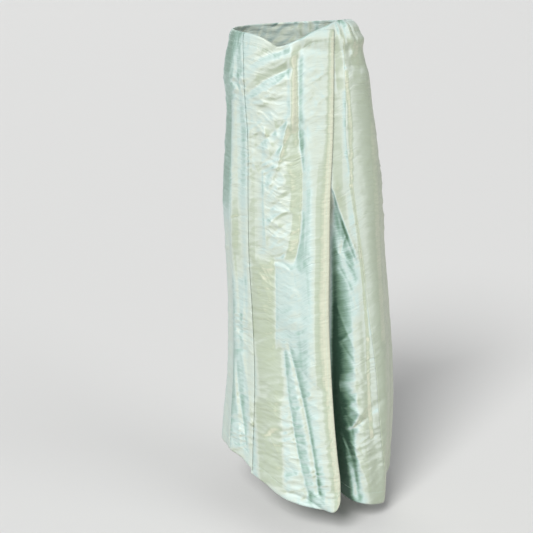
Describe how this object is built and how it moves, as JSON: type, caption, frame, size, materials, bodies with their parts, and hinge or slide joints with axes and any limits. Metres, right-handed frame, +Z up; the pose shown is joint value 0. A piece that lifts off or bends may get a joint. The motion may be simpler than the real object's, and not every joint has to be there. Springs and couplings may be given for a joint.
{
  "type": "maxi wrap skirt",
  "caption": "Ankle-length wrap skirt in crinkled mint taffeta, worn form, with a free front edge that hangs open below the hip.",
  "frame": {"origin": "centre of the waist opening, at the height of the waist edge on the wearer's right side", "axes": "+Z up along the wearer, -Y out of the front, +X to the wearer's left, where the free edge of the wrap hangs"},
  "size_m": [0.4265, 0.4244, 1.1478],
  "materials": {
    "taffeta": "crisp shot taffeta, fine crosswise slub, crinkled, low sheen that shifts from blue-white to olive-cream"
  },
  "bodies": {
    "root": {"front_overlap": "taffeta", "side_pleat": "taffeta", "under_front": "taffeta", "back_panel": "taffeta"}
  },
  "joints": []
}
